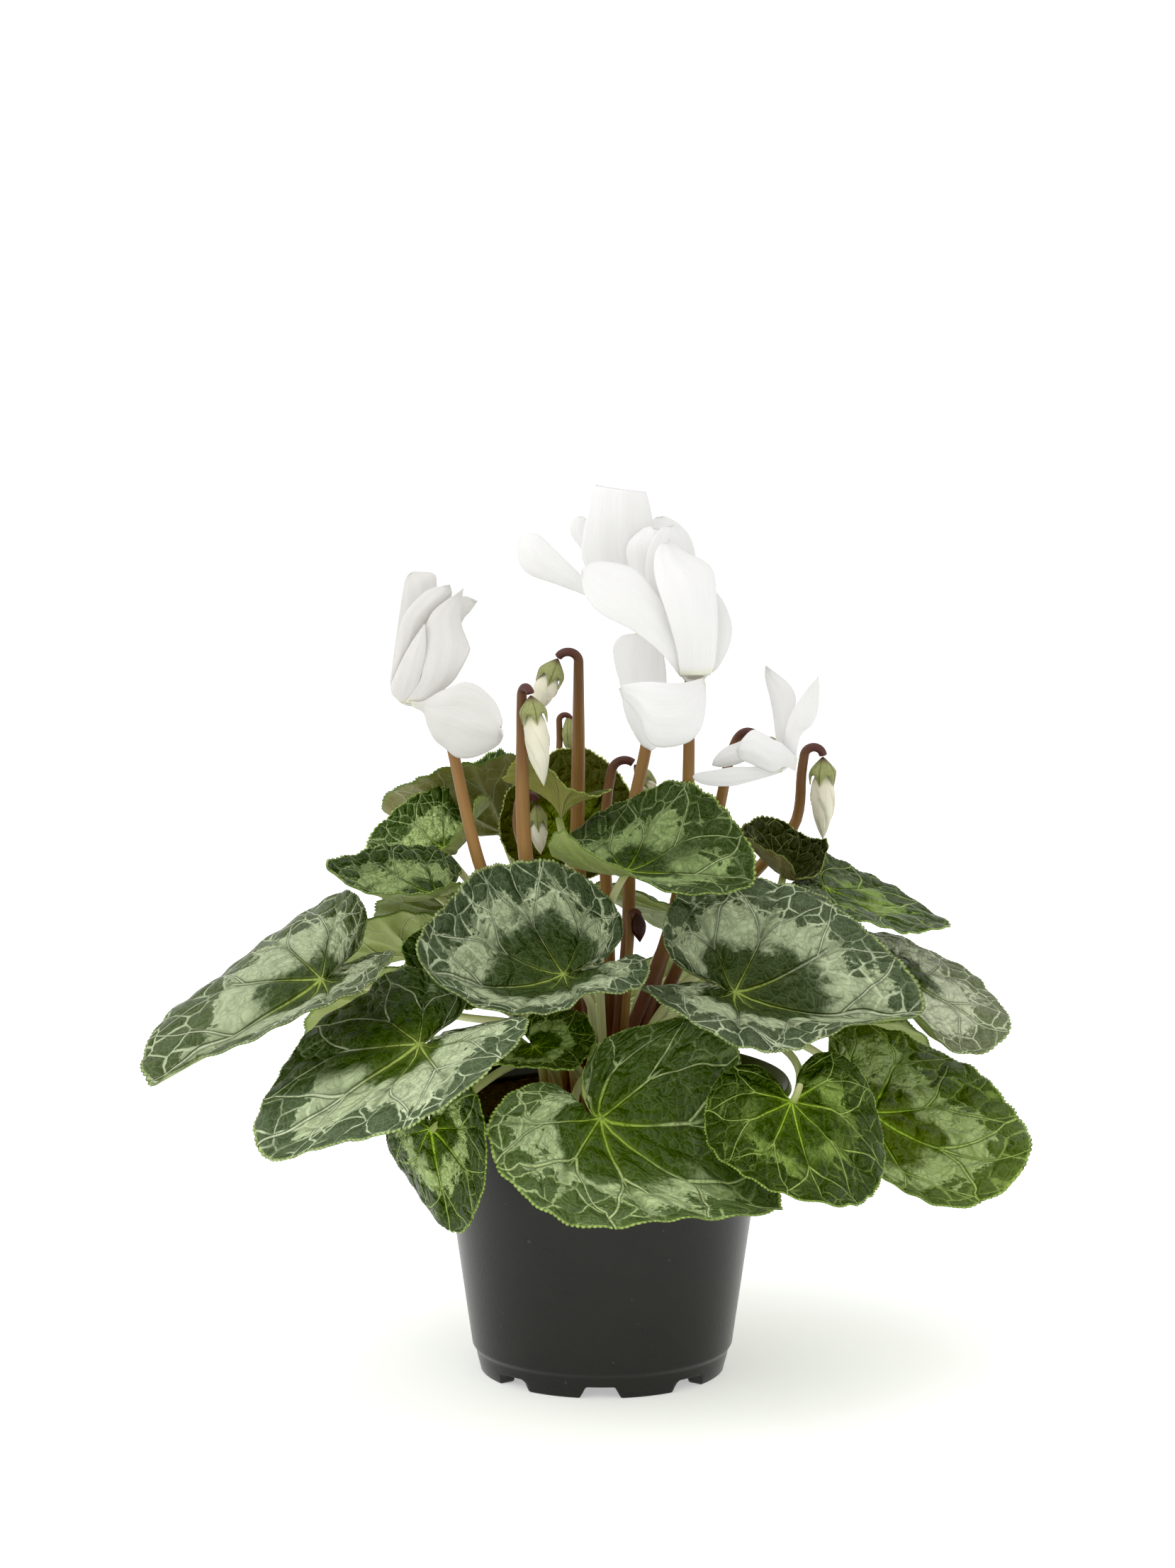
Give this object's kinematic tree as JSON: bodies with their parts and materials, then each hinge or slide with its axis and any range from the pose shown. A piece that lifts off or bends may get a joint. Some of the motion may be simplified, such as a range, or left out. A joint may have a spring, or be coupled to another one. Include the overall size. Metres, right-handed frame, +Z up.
{
  "type": "potted cyclamen",
  "caption": "Florist's cyclamen in a small black nursery pot: marbled heart-shaped leaves on long petioles, white swept-back flowers and hooked buds.",
  "frame": {"origin": "middle of the room that the whole plant takes up on the table, at the pot's resting face", "axes": "+Z up out of the pot; -Y towards the front of the plant; +X to its right seen from the front"},
  "size_m": [0.2791, 0.2484, 0.2792],
  "materials": {
    "pot": "satin moulded",
    "peat": "loose and crumbly",
    "tuber": "corky",
    "stalk": "smooth, slightly downy",
    "sepal": "smooth",
    "petal": "soft and thin",
    "bud": "soft and thin",
    "leaf_green": "fleshy, satin",
    "leaf_silvered": "fleshy, satin",
    "leaf_young": "fleshy, satin"
  },
  "bodies": {
    "root": {"stalk_flower_left": "stalk", "calyx_flower_left": "sepal", "corolla_left": "petal", "stalk_flower_middle": "stalk", "calyx_flower_middle": "sepal", "corolla_middle": "petal", "stalk_flower_middle_back": "stalk", "calyx_flower_middle_back": "sepal", "corolla_middle_back": "petal", "stalk_flower_right": "stalk", "calyx_flower_right": "sepal", "corolla_right": "petal", "stalk_bud_left": "stalk", "calyx_bud_left": "sepal", "bud_left": "bud", "stalk_bud_middle": "stalk", "calyx_bud_middle": "sepal", "bud_middle": "bud", "stalk_bud_right": "stalk", "calyx_bud_right": "sepal", "bud_right": "bud", "stalk_bud_back": "stalk", "calyx_bud_back": "sepal", "bud_back": "bud", "stalk_bud_low": "stalk", "calyx_bud_low": "sepal", "bud_low": "bud", "young_bud_dark": "stalk", "young_bud_small": "stalk", "leaf_front_left_of_middle": "leaf_silvered", "leaf_front_right": "leaf_silvered", "leaf_front_low": "leaf_green", "leaf_front_low_right": "leaf_green", "leaf_right_low": "leaf_green", "leaf_right": "leaf_silvered", "leaf_right_high": "leaf_green", "leaf_top_right": "leaf_green", "leaf_left_high": "leaf_green", "leaf_left_upper": "leaf_green", "leaf_left": "leaf_silvered", "leaf_front_left": "leaf_silvered", "leaf_front_low_left": "leaf_green", "leaf_front_small": "leaf_green", "leaf_back_left_high": "leaf_green", "leaf_back_high": "leaf_green", "leaf_young_funnel": "leaf_young", "leaf_right_cupped": "leaf_green", "leaf_middle_left": "leaf_green", "leaf_right_under": "leaf_green", "leaf_left_behind": "leaf_green", "leaf_back_left_low": "leaf_green", "leaf_back_low": "leaf_green", "leaf_back_right_low": "leaf_green", "leaf_back_middle_left": "leaf_green", "leaf_back_middle_right": "leaf_green", "leaf_back_right": "leaf_green", "pot": "pot", "soil": "peat", "tuber": "tuber"}
  },
  "joints": []
}
